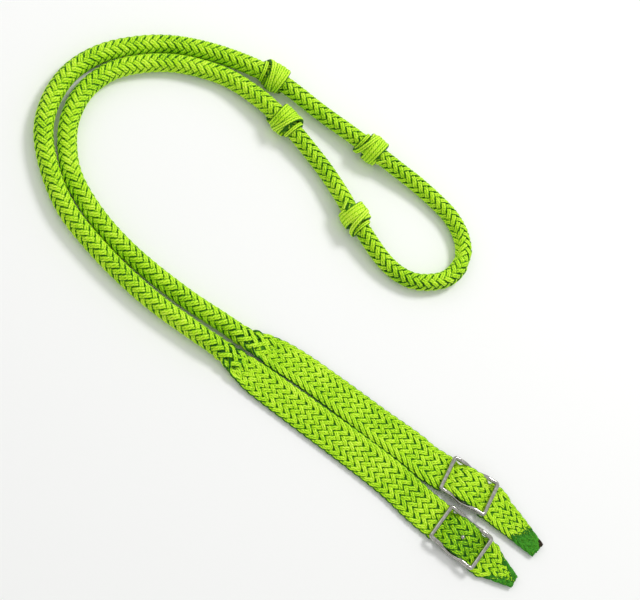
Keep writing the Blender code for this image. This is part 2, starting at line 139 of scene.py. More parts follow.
def unit(rows):
    return rows / np.linalg.norm(rows, axis=-1, keepdims=True)


def linear(code):
    """Linear RGBA from an sRGB hex code."""
    values = [int(code[i:i + 2], 16) / 255 for i in (0, 2, 4)]
    return (*(v / 12.92 if v <= 0.04045 else ((v + 0.055) / 1.055) ** 2.4 for v in values), 1.0)


# ---- route --------------------------------------------------------------------------------
def smooth(points, per_span=24):
    """Dense points on a centripetal Catmull-Rom curve through the given ones."""
    points = [np.array((x, y), float) for x, y in points]
    ends = [points[0] * 2 - points[1], *points, points[-1] * 2 - points[-2]]
    dense = []
    for a, b, c, d in zip(ends, ends[1:], ends[2:], ends[3:]):
        k = [0.0]
        for p, q in ((a, b), (b, c), (c, d)):
            k.append(k[-1] + max(np.linalg.norm(q - p), 1e-6) ** 0.5)
        for i in range(per_span):
            t = k[1] + (k[2] - k[1]) * i / per_span
            ab = mix(a, b, (t - k[0]) / (k[1] - k[0]))
            bc = mix(b, c, (t - k[1]) / (k[2] - k[1]))
            cd = mix(c, d, (t - k[2]) / (k[3] - k[2]))
            abc = mix(ab, bc, (t - k[0]) / (k[2] - k[0]))
            bcd = mix(bc, cd, (t - k[1]) / (k[3] - k[1]))
            dense.append(mix(abc, bcd, (t - k[1]) / (k[2] - k[1])))
    dense.append(points[-1])
    return np.array(dense)


class Route:
    """A smooth plan curve measured by station, the distance along it."""

    def __init__(self, points):
        self.points = smooth(points)
        steps = np.linalg.norm(np.diff(self.points, axis=0), axis=1)
        self.stations = np.concatenate(([0.0], np.cumsum(steps)))
        self.length = self.stations[-1]

    def place(self, stations):
        return np.stack([np.interp(stations, self.stations, self.points[:, k]) for k in (0, 1)], axis=-1)

    def direction(self, stations):
        reach = 0.0008
        low = np.clip(stations - reach, 0, self.length)
        high = np.clip(stations + reach, 0, self.length)
        return unit(self.place(high) - self.place(low))

    def station_of(self, place):
        return self.stations[np.argmin(np.linalg.norm(self.points - np.array(place), axis=1))]


HALF_STRAP = STRAP_THICKNESS / 2
JOIN_X = BUCKLE_LENGTH / 2 + BUCKLE_MARGIN
END_BAR_Z = HALF_STRAP + CLEARANCE + FRAME_BAR / 2
CENTRE_BAR_Z = END_BAR_Z - CENTRE_BAR_DROP
RAIL_Y = (BUCKLE_WIDTH - FRAME_BAR) / 2
END_BAR_X = (BUCKLE_LENGTH - FRAME_BAR) / 2
BULGE_RISE = CENTRE_BAR_Z + CENTRE_BAR / 2 + CLEARANCE + HALF_STRAP
DIP_X = END_BAR_X - DIP_MARGIN - FRAME_BAR


def rest_height(width, thickness, roll, power=STRAP_EDGE_POWER):
    """Height of the centre line where a section lies on the plane z = 0, rolled about its route."""
    turns = math.tau * (np.arange(12) + 0.5) / 12
    bend = 2.0 / np.atleast_1d(power)[:, None]
    left = np.sign(np.cos(turns)) * np.abs(np.cos(turns)) ** bend * np.atleast_1d(width)[:, None] / 2
    up = np.sign(np.sin(turns)) * np.abs(np.sin(turns)) ** bend * np.atleast_1d(thickness)[:, None] / 2
    lean = np.radians(np.atleast_1d(roll))[:, None]
    return -np.min(left * np.sin(lean) + up * np.cos(lean), axis=1)


def buckle_matrix(place):
    """Frame at a buckle's centre: X along the strap to its tip, Y to its left, Z off its face."""
    height = float(rest_height(STRAP_WIDTH, STRAP_THICKNESS, place["roll"])[0])
    turn = Matrix.Rotation(math.radians(place["heading"]), 4, "Z")
    lean = Matrix.Rotation(math.radians(place["roll"]), 4, "X")
    return Matrix.Translation((*place["at"], height)) @ turn @ lean


def plan(matrix, x):
    return tuple((matrix @ Vector((x, 0.0, 0.0)))[:2])


OUTER_FRAME = buckle_matrix(OUTER_BUCKLE)
INNER_FRAME = buckle_matrix(INNER_BUCKLE)
ROUTE = Route([plan(OUTER_FRAME, -JOIN_X), plan(OUTER_FRAME, -JOIN_X - 0.012), *OUTER_STRAP_ROUTE,
               OUTER_JUNCTION, *OUTER_LEG_ROUTE, OUTER_REAR_KNOT, OUTER_HINGE, OUTER_FRONT_KNOT, *LOOP_ROUTE,
               INNER_FRONT_KNOT, *INNER_SPAN_ROUTE, INNER_HINGE, INNER_REAR_KNOT, *INNER_LEG_ROUTE,
               INNER_JUNCTION, *INNER_STRAP_ROUTE, plan(INNER_FRAME, -JOIN_X - 0.012),
               plan(INNER_FRAME, -JOIN_X)])
S_OUTER_JUNCTION = ROUTE.station_of(OUTER_JUNCTION)
S_OUTER_REAR = ROUTE.station_of(OUTER_REAR_KNOT)
S_OUTER_FRONT = ROUTE.station_of(OUTER_FRONT_KNOT)
S_INNER_FRONT = ROUTE.station_of(INNER_FRONT_KNOT)
S_INNER_REAR = ROUTE.station_of(INNER_REAR_KNOT)
S_INNER_JUNCTION = ROUTE.station_of(INNER_JUNCTION)
KNOTS = {"outer_rear_knot": S_OUTER_REAR, "outer_front_knot": S_OUTER_FRONT,
         "inner_front_knot": S_INNER_FRONT, "inner_rear_knot": S_INNER_REAR}


def round_diameter(stations):
    """The round braid's diameter: the legs' up to the rear knots, the loop's between them."""
    inside = np.minimum(stations - S_OUTER_REAR, S_INNER_REAR - stations)
    return mix(LEG_DIAMETER, LOOP_DIAMETER, ease(inside / TAPER_LENGTH + 0.5))


def knot_rise(stations):
    """How far the knots hold the braid off the plane."""
    full = (KNOT_DIAMETER - round_diameter(stations)) / 2
    share = sum(np.cos(np.pi / 2 * np.clip(np.abs(stations - k) / KNOT_RISE_REACH, 0, 1)) ** 2
                for k in KNOTS.values())
    return full * np.minimum(share, 1.0)


class Line:
    """Samples of the centre line: place, axes, and the section's width, thickness and flatness."""

    def __init__(self, station, centre, forward, left, up, width, thickness, flat):
        self.station, self.centre, self.forward = station, centre, forward
        self.left, self.up = left, up
        self.width, self.thickness, self.flat = width, thickness, flat


def plan_axes(direction, roll):
    """Forward, left and up for a plan direction, rolled so that the left side rises by roll degrees."""
    zero = np.zeros(len(direction))
    forward = np.stack([direction[:, 0], direction[:, 1], zero], 1)
    flat_left = np.stack([-direction[:, 1], direction[:, 0], zero], 1)
    lean = np.radians(roll)[:, None]
    upright = np.array([[0.0, 0.0, 1.0]])
    left = flat_left * np.cos(lean) + upright * np.sin(lean)
    up = upright * np.cos(lean) - flat_left * np.sin(lean)
    return forward, left, up


def main_line():
    count = int(ROUTE.length / STEP)
    s = np.linspace(0.0, ROUTE.length, count + 1)
    outward = np.maximum(S_OUTER_JUNCTION - s, s - S_INNER_JUNCTION)
    flat = ease((outward + EARLY_FLAT) / (FLATTEN_LENGTH + EARLY_FLAT))
    share = np.clip(np.maximum((S_OUTER_JUNCTION - s) / S_OUTER_JUNCTION,
                               (s - S_INNER_JUNCTION) / (ROUTE.length - S_INNER_JUNCTION)), 0, 1)
    width = mix(round_diameter(s), mix(STRAP_ROOT_WIDTH, STRAP_WIDTH, share), flat)
    thickness = mix(round_diameter(s), STRAP_THICKNESS, flat)
    roll = -OUTER_STRAP_ROLL * ease((S_OUTER_JUNCTION - s) / (2.5 * FLATTEN_LENGTH))
    place = ROUTE.place(s)
    height = rest_height(width, thickness, roll, mix(2.0, STRAP_EDGE_POWER, flat)) + knot_rise(s)
    forward, left, up = plan_axes(ROUTE.direction(s), roll)
    return Line(s, np.column_stack([place, height]), forward, left, up, width, thickness, flat)


def buckle_line(place, matrix):
    """The braid held by a buckle, in route order: x falls on the outer side and rises on the inner."""
    count = round(2 * JOIN_X / STEP)
    x = np.linspace(-JOIN_X, JOIN_X, count + 1) * place["turn"]
    inner_edge = END_BAR_X - FRAME_BAR
    rise = BULGE_RISE * ease((inner_edge - np.abs(x)) / (inner_edge - FRAME_BAR))
    width = mix(STRAP_WIDTH, PINCHED_WIDTH, ease((0.0205 - np.abs(x)) / 0.0045))
    width = mix(width, MIDDLE_WIDTH, ease((0.0150 - np.abs(x)) / 0.0060))
    axes = np.array(matrix.to_3x3())
    base = np.array(matrix.translation)
    centre = base + x[:, None] * axes[:, 0] + rise[:, None] * axes[:, 2]
    slope = np.gradient(rise, x)
    turn = place["turn"]
    forward = unit(axes[:, 0][None] + slope[:, None] * axes[:, 2][None]) * turn
    left = np.repeat(axes[:, 1][None] * turn, len(x), 0)
    up = np.cross(forward, left)
    ones = np.ones(len(x))
    if turn < 0:
        station = -(JOIN_X + x)
    else:
        station = ROUTE.length + JOIN_X + x
    return Line(station, centre, forward, left, up, width, STRAP_THICKNESS * ones, ones)


def tip_line(place, matrix, end_place, end_width, drift):
    """The free strap past a buckle, narrowing to its sealed end, in route order."""
    start, ahead = plan(matrix, JOIN_X), plan(matrix, JOIN_X + 0.005)
    line = Route([start, ahead, end_place])
    count = round(line.length / STEP)
    s = np.linspace(0.0, line.length, count + 1)
    seal_start = line.length - SEAL_LENGTH
    settled = ease(s / TIP_SETTLE)
    width = mix(mix(STRAP_WIDTH, TIP_WIDTH, settled), end_width, (s / line.length) ** TAPER_POWER)
    thickness = mix(STRAP_THICKNESS, STRAP_THICKNESS * 0.86, ease((s - seal_start) / SEAL_LENGTH))
    roll = place["roll"] * (1 - ease(2 * s / line.length))
    height = rest_height(width, thickness, roll)
    forward, left, up = plan_axes(line.direction(s), roll)
    aside = drift * settled * (1 - s / line.length)
    centre = np.column_stack([line.place(s), height]) + left * aside[:, None]
    turn = place["turn"]
    forward, left = forward * turn, left * turn
    station = (-2 * JOIN_X - s) if turn < 0 else (ROUTE.length + 2 * JOIN_X + s)
    made = Line(station, centre, forward, left, up, width, thickness, np.ones(len(s)))
    if turn < 0:
        for name, values in vars(made).items():
            setattr(made, name, values[::-1])
    return made, seal_start


def joined(lines):
    """One line from several that meet end to end."""
    whole = {}
    for name in vars(lines[0]):
        whole[name] = np.concatenate([vars(lines[0])[name], *(vars(l)[name][1:] for l in lines[1:])])
    return Line(**whole)


OUTER_TIP_LINE, OUTER_SEAL_FROM = tip_line(OUTER_BUCKLE, OUTER_FRAME, OUTER_TIP, OUTER_TIP_WIDTH, 0.0012)
INNER_TIP_LINE, INNER_SEAL_FROM = tip_line(INNER_BUCKLE, INNER_FRAME, INNER_TIP, INNER_TIP_WIDTH, -0.0034)
LINE = joined([OUTER_TIP_LINE, buckle_line(OUTER_BUCKLE, OUTER_FRAME), main_line(),
               buckle_line(INNER_BUCKLE, INNER_FRAME), INNER_TIP_LINE])


# ---- strands ------------------------------------------------------------------------------
def strap_weave(across):
    """Height pattern of the strands that cross the strap leftwards, by place across it (-1 to 1)."""
    columns = np.linspace(-1.0, 1.0, STRANDS + 1)
    over = np.array([0.0, -1.0, -1.0, 1.0, 1.0, -1.0, -1.0, 1.0, 1.0, -1.0, -1.0, 1.0, 0.0])
    return np.sin(np.pi / 2 * np.interp(across, columns, over))


def strand_paths():
    """Place, face normal and size of every strand at every sample of the centre line."""
    line = LINE
    lead = mix(ROUND_LEAD, FLAT_LEAD, line.flat)
    steps = np.diff(line.station, prepend=line.station[0])
    phase = np.cumsum(steps / lead)
    past_buckle = (line.station < -2 * JOIN_X) | (line.station > ROUTE.length + 2 * JOIN_X)
    flat_size = FLAT_NARROWING * np.where(past_buckle, 0.30 + 0.70 * line.width / STRAP_WIDTH, 1.0)
    size = mix(np.clip(line.thickness / LEG_DIAMETER, 0.9, 1.0), flat_size, line.flat)
    point = np.clip(((S_OUTER_FRONT + S_INNER_FRONT) / 2 - line.station) / 0.006, -1.0, 1.0)
    paths = []
    for i in range(STRANDS):
        way = 1 if i % 2 == 0 else -1
        turn = 2 * np.pi * (phase + i / STRANDS)
        angle = way * turn
        over = np.clip(1.5 * np.cos(3 * angle), -1, 1) * way * point
        radius = (line.thickness / 2 + ROUND_PROUD - STRAND_THICKNESS * size / 2 - ROUND_WEAVE
                  + ROUND_WEAVE * over)
        round_left = (radius + (line.width - line.thickness) / 2) * np.cos(angle)
        round_up = radius * np.sin(angle)
        zigzag = np.arcsin(0.97 * np.cos(turn)) / math.asin(0.97)
        reach = line.width / 2 - STRAND_WIDTH * size * 0.52
        leftwards = np.where(np.sin(turn) > 0, -1.0, 1.0)
        crossing = strap_weave(zigzag) * leftwards
        flat_up = FLAT_WEAVE * np.minimum(1.0, line.thickness / STRAP_THICKNESS) * crossing
        left = mix(round_left, reach * zigzag, line.flat)
        up = mix(round_up, flat_up, line.flat)
        points = line.centre + line.left * left[:, None] + line.up * up[:, None]
        radial = line.left * np.cos(angle)[:, None] + line.up * np.sin(angle)[:, None]
        side = np.ones(len(phase))
        for start, stop, at in flat_stretches():
            middle = np.argmin(np.abs(line.station - at))
            side[start:stop] = 1.0 if np.sin(angle[middle]) >= 0 else -1.0
        normal = square_to(unit(mix(radial, line.up * side[:, None], line.flat[:, None])), points)
        paths.append({"points": points, "normal": normal, "size": size, "along": line.station + i * 0.37,
                      "tone": (i * 0.618) % 1.0, "proud": mix(over, np.abs(crossing), line.flat)})
    return paths


def square_to(normal, points):
    """The normals turned square to the path through the points."""
    tangent = unit(np.gradient(points, axis=0))
    return unit(normal - tangent * np.sum(normal * tangent, axis=1, keepdims=True))


def flat_stretches():
    """Index ranges of the two flat ends, and the station in the middle of each change from round."""
    outer = int(np.searchsorted(LINE.station, S_OUTER_JUNCTION))
    inner = int(np.searchsorted(LINE.station, S_INNER_JUNCTION))
    half = FLATTEN_LENGTH / 2
    return ((0, outer, S_OUTER_JUNCTION - half), (inner, len(LINE.station), S_INNER_JUNCTION + half))


PATHS = strand_paths()


# ---- the sweep tree -----------------------------------------------------------------------
def add(tree, kind, settings=None, **links):
    """A node with its settings, its inputs set or linked by name or index."""
    node = tree.nodes.new(kind)
    for name, value in (settings or {}).items():
        setattr(node, name, value)
    for name, value in links.items():
        key = int(name[1:]) if name[0] == "i" and name[1:].isdigit() else name.replace("_", " ")
        socket = node.inputs[key]
        if isinstance(value, bpy.types.NodeSocket):
            tree.links.new(value, socket)
        else:
            socket.default_value = value
    return node


def maths(tree, operation, *values):
    node = tree.nodes.new("ShaderNodeMath")
    node.operation = operation
    for socket, value in zip(node.inputs, values):
        if isinstance(value, bpy.types.NodeSocket):
            tree.links.new(value, socket)
        else:
            socket.default_value = value
    return node.outputs[0]


def sweep_tree():
    """Sweeps a ridged bundle of yarns along each polyline, its face turned by the 'face' attribute."""
    tree = bpy.data.node_groups.new("yarn_bundle_sweep", "GeometryNodeTree")
    face = tree.interface
    face.new_socket("Geometry", in_out="INPUT", socket_type="NodeSocketGeometry")
    for name, value in (("Width", STRAND_WIDTH), ("Thickness", STRAND_THICKNESS), ("Ridge", YARN_RIDGE)):
        face.new_socket(name, in_out="INPUT", socket_type="NodeSocketFloat").default_value = value
    face.new_socket("Yarns", in_out="INPUT", socket_type="NodeSocketInt").default_value = YARNS
    face.new_socket("Sides", in_out="INPUT", socket_type="NodeSocketInt").default_value = 16
    face.new_socket("Material", in_out="INPUT", socket_type="NodeSocketMaterial")
    face.new_socket("Geometry", in_out="OUTPUT", socket_type="NodeSocketGeometry")
    given = add(tree, "NodeGroupInput").outputs
    curve = add(tree, "GeometryNodeMeshToCurve", Mesh=given["Geometry"])
    normal = add(tree, "GeometryNodeInputNamedAttribute", {"data_type": "FLOAT_VECTOR"}, Name="face")
    turned = add(tree, "GeometryNodeSetCurveNormal", {"mode": "FREE"}, Curve=curve.outputs[0],
                 Normal=normal.outputs[0])
    size = add(tree, "GeometryNodeInputNamedAttribute", {"data_type": "FLOAT"}, Name="size")
    sized = add(tree, "GeometryNodeSetCurveRadius", Curve=turned.outputs[0], Radius=size.outputs[0])
    circle = add(tree, "GeometryNodeCurvePrimitiveCircle", Resolution=given["Sides"], Radius=1.0)
    where = add(tree, "GeometryNodeSplineParameter")
    angle = maths(tree, "MULTIPLY", where.outputs["Factor"], math.tau)
    cosine = maths(tree, "COSINE", angle)
    sine = maths(tree, "SINE", angle)
    waves = maths(tree, "MULTIPLY", maths(tree, "MULTIPLY", cosine, given["Yarns"]), math.pi / 2)
    ridge = maths(tree, "MULTIPLY", maths(tree, "ABSOLUTE", maths(tree, "SINE", waves)), given["Ridge"])
    wide = maths(tree, "MULTIPLY", maths(tree, "MULTIPLY", cosine, given["Width"]), 0.5)
    thick = maths(tree, "MULTIPLY", maths(tree, "MULTIPLY", sine, given["Thickness"]), 0.5)
    lifted = maths(tree, "ADD", thick, maths(tree, "MULTIPLY", ridge, maths(tree, "SIGN", sine)))
    place = add(tree, "ShaderNodeCombineXYZ", X=lifted, Y=wide, Z=0.0)
    profile = add(tree, "GeometryNodeSetPosition", Geometry=circle.outputs[0], Position=place.outputs[0])
    held = add(tree, "GeometryNodeCaptureAttribute", Geometry=profile.outputs[0])
    held.capture_items.new("FLOAT", "across")
    tree.links.new(cosine, held.inputs["across"])
    mesh = add(tree, "GeometryNodeCurveToMesh", Curve=sized.outputs[0], Profile_Curve=held.outputs[0],
               Fill_Caps=True)
    if "Scale" in mesh.inputs:
        tree.links.new(size.outputs[0], mesh.inputs["Scale"])
    stored = add(tree, "GeometryNodeStoreNamedAttribute", {"data_type": "FLOAT", "domain": "POINT"},
                 Geometry=mesh.outputs[0], Name="across", Value=held.outputs["across"])
    shaded = add(tree, "GeometryNodeSetShadeSmooth", Geometry=stored.outputs[0], Shade_Smooth=True)
    real = add(tree, "GeometryNodeRealizeInstances", Geometry=shaded.outputs[0])
    finished = add(tree, "GeometryNodeSetMaterial", Geometry=real.outputs[0], Material=given["Material"])
    ending = add(tree, "NodeGroupOutput")
    tree.links.new(finished.outputs[0], ending.inputs[0])
    return tree


def plain_mesh(obj, name):
    """The evaluated object as a plain mesh object of its own; the source is removed."""
    graph = bpy.context.evaluated_depsgraph_get()
    graph.update()
    mesh = bpy.data.meshes.new_from_object(obj.evaluated_get(graph), preserve_all_data_layers=True,
                                           depsgraph=graph)
    old = obj.data
    bpy.data.objects.remove(obj)
    bpy.data.meshes.remove(old)
    mesh.name = name
    made = bpy.data.objects.new(name, mesh)
    bpy.context.scene.collection.objects.link(made)
    return made


SPARE = {"size": 1.0, "along": 0.0, "tone": 0.5, "seal": 0.0, "proud": 1.0}


def swept(name, paths, material, tree, **sizes):
    """Yarn bundles along paths of points, face normals and sizes."""
    points = np.concatenate([p["points"] for p in paths])
    edges = []
    first = 0
    for p in paths:
        count = len(p["points"])
        edges += [(first + i, first + i + 1) for i in range(count - 1)]
        if p.get("closed"):
            edges.append((first + count - 1, first))
        first += count
    mesh = bpy.data.meshes.new(name)
    mesh.from_pydata(points.tolist(), edges, [])
    for key, kind in (("face", "FLOAT_VECTOR"), ("size", "FLOAT"), ("along", "FLOAT"), ("tone", "FLOAT"),
                      ("seal", "FLOAT"), ("proud", "FLOAT")):
        layer = mesh.attributes.new(key, kind, "POINT")
        if key == "face":
            layer.data.foreach_set("vector", np.concatenate([p["normal"] for p in paths]).ravel())
        else:
            values = [np.broadcast_to(p.get(key, SPARE[key]), len(p["points"])) for p in paths]
            layer.data.foreach_set("value", np.concatenate(values).astype(np.float32))
    obj = bpy.data.objects.new(name, mesh)
    bpy.context.scene.collection.objects.link(obj)
    modifier = obj.modifiers.new("sweep", "NODES")
    modifier.node_group = tree
    sockets = {s.name: s.identifier for s in tree.interface.items_tree if s.in_out == "INPUT"}
    modifier[sockets["Material"]] = material
    for key, value in sizes.items():
        modifier[sockets[key]] = value
    return plain_mesh(obj, name)


# ---- materials ----------------------------------------------------------------------------
def new_material(name):
    made = bpy.data.materials.new(name)
    made.use_nodes = True
    tree = made.node_tree
    return made, tree, tree.nodes["Principled BSDF"]


def ramp(tree, factor, stops):
    node = tree.nodes.new("ShaderNodeValToRGB")
    tree.links.new(factor, node.inputs[0])
    elements = node.color_ramp.elements
    while len(elements) < len(stops):
        elements.new(0.5)
    for element, (position, code) in zip(elements, stops):
        element.position = position
        element.color = linear(code)
    return node.outputs[0]


YARN_LAY = 0.0026            # one twist of a yarn, drawn coarse enough to show
FIBRE = 0.0010               # size of the fine mottling
# The dark line along a bundle's edge is painted shade where bundles meet.
EDGE_SHADE_SHARPNESS = 5.0         # how narrow the dark line along a bundle's edge is


def nylon_braid(name, crest, mid, groove_shade, shade, rib_shade=0.18, sealed=None):
    """Spun nylon, braided: matt and slightly fuzzy. Its colour is darker between the yarns and along each
    yarn's twist as painted shade, darker along the bundle edges and on strands that pass under others as
    painted shade, and lighter on the yarn crests, partly as painted highlight.
    """
    made, tree, shader = new_material(name)
    across = add(tree, "ShaderNodeAttribute", {"attribute_name": "across"}).outputs["Fac"]
    along = add(tree, "ShaderNodeAttribute", {"attribute_name": "along"}).outputs["Fac"]
    tone = add(tree, "ShaderNodeAttribute", {"attribute_name": "tone"}).outputs["Fac"]
    coords = add(tree, "ShaderNodeTexCoord").outputs["Object"]
    yarn = maths(tree, "ABSOLUTE", maths(tree, "SINE", maths(tree, "MULTIPLY", across, YARNS * math.pi / 2)))
    lay = maths(tree, "ADD", maths(tree, "MULTIPLY", along, math.tau / YARN_LAY),
                maths(tree, "MULTIPLY", across, YARNS * math.pi))
    ply = maths(tree, "MULTIPLY_ADD", maths(tree, "SINE", lay), 0.5, 0.5)
    fine = add(tree, "ShaderNodeTexNoise", Vector=coords, Scale=1 / FIBRE, Detail=2.0).outputs["Fac"]
    broad = add(tree, "ShaderNodeTexNoise", Vector=coords, Scale=45.0, Detail=2.0).outputs["Fac"]
    proud = add(tree, "ShaderNodeAttribute", {"attribute_name": "proud"}).outputs["Fac"]
    # Painted shade: darker in the grooves between the yarns and along each yarn's twist; the fine and broad
    # noise and the tone are the nylon's own random variation.
    level = maths(tree, "MULTIPLY_ADD", yarn, rib_shade, -0.31 - 0.6 * (rib_shade - 0.18))
    level = maths(tree, "MULTIPLY_ADD", ply, 0.16, level)
    level = maths(tree, "MULTIPLY_ADD", fine, 0.95, level)
    level = maths(tree, "MULTIPLY_ADD", broad, 0.35, level)
    level = maths(tree, "MULTIPLY_ADD", tone, 0.06, level)
    # Painted shade: darker towards each bundle's edges, in the creases between bundles.
    edge = maths(tree, "POWER", maths(tree, "ABSOLUTE", across), EDGE_SHADE_SHARPNESS)
    level = maths(tree, "MULTIPLY_ADD", edge, -0.62, level)
    # Painted shade: strands that lie under the others are darker.
    sunk_shade = maths(tree, "MAXIMUM", maths(tree, "MULTIPLY_ADD", proud, -1.0, 0.20), 0.0)
    level = maths(tree, "MULTIPLY_ADD", sunk_shade, -0.55, level)
    # Ramp from painted deep shade and painted groove shade through the nylon's own lime to a lighter crest
    # that is partly painted highlight.
    colour = ramp(tree, level, ((0.08, shade), (0.34, groove_shade), (0.58, mid), (0.90, crest)))
    if sealed:
        seal = add(tree, "ShaderNodeAttribute", {"attribute_name": "seal"}).outputs["Fac"]
        speckle = add(tree, "ShaderNodeTexNoise", Vector=coords, Scale=650.0, Detail=3.0).outputs["Fac"]
        melt = maths(tree, "ADD", seal, maths(tree, "MULTIPLY_ADD", speckle, 2.4, -1.2))
        burn = ramp(tree, melt, ((0.42, "FFFFFF"), (0.52, "000000")))
        char = maths(tree, "MULTIPLY_ADD", seal, 0.5, maths(tree, "MULTIPLY_ADD", speckle, 0.5, -0.25))
        dark = ramp(tree, char, ((0.42, sealed[0]), (0.58, sealed[1]), (0.74, sealed[2])))
        blended = add(tree, "ShaderNodeMix", {"data_type": "RGBA"})
        tree.links.new(burn, blended.inputs[0])
        tree.links.new(dark, blended.inputs[6])
        tree.links.new(colour, blended.inputs[7])
        colour = blended.outputs[2]
    tree.links.new(colour, shader.inputs["Base Color"])
    height = maths(tree, "MULTIPLY_ADD", ply, 0.35, maths(tree, "MULTIPLY_ADD", fine, 0.6, yarn))
    bump = add(tree, "ShaderNodeBump", Strength=0.7, Distance=0.0005, Height=height)
    tree.links.new(bump.outputs[0], shader.inputs["Normal"])
    shader.inputs["Roughness"].default_value = 0.62
    shader.inputs["Sheen Weight"].default_value = 0.03
    shader.inputs["Sheen Roughness"].default_value = 0.5
    shader.inputs["IOR"].default_value = 1.53
    shader.inputs["Specular IOR Level"].default_value = 0.18
    return made


def packed_filler():
    """What shows between the strands: nylon in deep shade."""
    made, tree, shader = new_material("nylon_braid_depth")
    coords = add(tree, "ShaderNodeTexCoord").outputs["Object"]
    noise = add(tree, "ShaderNodeTexNoise", Vector=coords, Scale=900.0, Detail=2.0).outputs["Fac"]
    tree.links.new(ramp(tree, noise, ((0.3, "2E7006"), (0.7, "4E960A"))), shader.inputs["Base Color"])
    shader.inputs["Roughness"].default_value = 0.9
    return made


def nickel_plate():
    """Bright nickel plate over bent wire: mirror-like, warm grey, with faint handling marks."""
    made, tree, shader = new_material("bright_nickel_plate")
    coords = add(tree, "ShaderNodeTexCoord").outputs["Object"]
    marks = add(tree, "ShaderNodeTexNoise", Vector=coords, Scale=420.0, Detail=4.0).outputs["Fac"]
    tree.links.new(ramp(tree, marks, ((0.3, "9C9993"), (0.7, "CBC8C3"))), shader.inputs["Base Color"])
    tree.links.new(maths(tree, "MULTIPLY_ADD", marks, 0.12, 0.06), shader.inputs["Roughness"])
    shader.inputs["Metallic"].default_value = 1.0
    return made


# Braid colours: crest partly painted highlight, mid the nylon's own lime, groove painted shade, last a deeper
# painted shade.
LIME = ("ECFF62", "C0F60E", "74BA04", "1C5A02")
BRAID = nylon_braid("lime_nylon_braid", *LIME)
# The knot wraps get deeper painted shade between their yarns.
WRAP = nylon_braid("lime_nylon_wrap", *LIME, rib_shade=0.40)
SEALED = nylon_braid("heat_sealed_nylon", *LIME, sealed=("23700C", "4AA41E", "2A1E08"))
DEPTH = packed_filler()
NICKEL = nickel_plate()
SWEEP = sweep_tree()


# ---- pieces -------------------------------------------------------------------------------
def tube(line, start, stop, sides=14):
    """Vertices and faces of a closed tube inside the strands, between two samples."""
    turns = np.linspace(0, math.tau, sides, endpoint=False)
    vertices = []
    for k in range(start, stop + 1):
        flat = line.flat[k]
        narrow = 1.0 - 1.4 * flat * (1.0 - flat)
        width_share, thickness_share = mix(0.60, 0.84, flat) * narrow, mix(0.60, 0.34, flat) * narrow
        ring = line.centre[k] + np.outer(np.cos(turns) * line.width[k] / 2 * width_share, line.left[k]) \
            + np.outer(np.sin(turns) * line.thickness[k] / 2 * thickness_share, line.up[k])
        vertices.append(ring)
    count = stop - start + 1
    faces = []
    for k in range(count - 1):
        for i in range(sides):
            j = (i + 1) % sides
            faces.append((k * sides + i, k * sides + j, (k + 1) * sides + j, (k + 1) * sides + i))
    faces.append(tuple(range(sides))[::-1])
    faces.append(tuple((count - 1) * sides + i for i in range(sides)))
    return np.concatenate(vertices), faces


def add_tube(obj, vertices, faces, material):
    """Adds plain faces with their own material to a swept piece."""
    bm = bmesh.new()
    bm.from_mesh(obj.data)
    obj.data.materials.append(material)
    slot = len(obj.data.materials) - 1
    made = [bm.verts.new(v) for v in vertices]
    added = []
    for face in faces:
        new = bm.faces.new([made[i] for i in face])
        new.material_index = slot
        new.smooth = True
        added.append(new)
    bmesh.ops.recalc_face_normals(bm, faces=added)
    bm.to_mesh(obj.data)
    bm.free()


def braid_piece(name, start_station, end_station, material=None):
    """All strands between two stations, round the filler that closes the gaps."""
    start = int(np.searchsorted(LINE.station, start_station - 1e-6))
    stop = min(int(np.searchsorted(LINE.station, end_station - 1e-6)), len(LINE.station) - 1)
    parts = [{key: (value if np.isscalar(value) else value[start:stop + 1]) for key, value in p.items()}
             for p in PATHS]
    piece = swept(name, parts, material or BRAID, SWEEP)
    vertices, faces = tube(LINE, start, stop)
    add_tube(piece, vertices, faces, DEPTH)
    return piece


# ---- knots --------------------------------------------------------------------------------
def wound(station, offset, angle, radius, size=1.0, tone=0.5):
    """A bundle laid round the braid: offsets along the route, angles from its left side, radii."""
    s = station + offset
    place = np.stack([np.interp(s, LINE.station, LINE.centre[:, k]) for k in range(3)], 1)
    left, up = (unit(np.stack([np.interp(s, LINE.station, axis[:, k]) for k in range(3)], 1))
                for axis in (LINE.left, LINE.up))
    radial = left * np.cos(angle)[:, None] + up * np.sin(angle)[:, None]
    points = place + radial * radius[:, None]
    steps = np.linalg.norm(np.diff(points, axis=0, prepend=points[:1]), axis=1)
    return {"points": points, "normal": square_to(radial, points), "size": np.broadcast_to(size, len(s)),
            "along": np.cumsum(steps), "tone": tone}


WRAP_TURNS = 4.0
WRAP_BUNDLE = {"Width": 0.0054, "Thickness": 0.0036, "Ridge": 0.00055, "Yarns": 2, "Sides": 28}
KNOT_PROUD = 0.0004          # the wrap stands outside the model's knot by this much


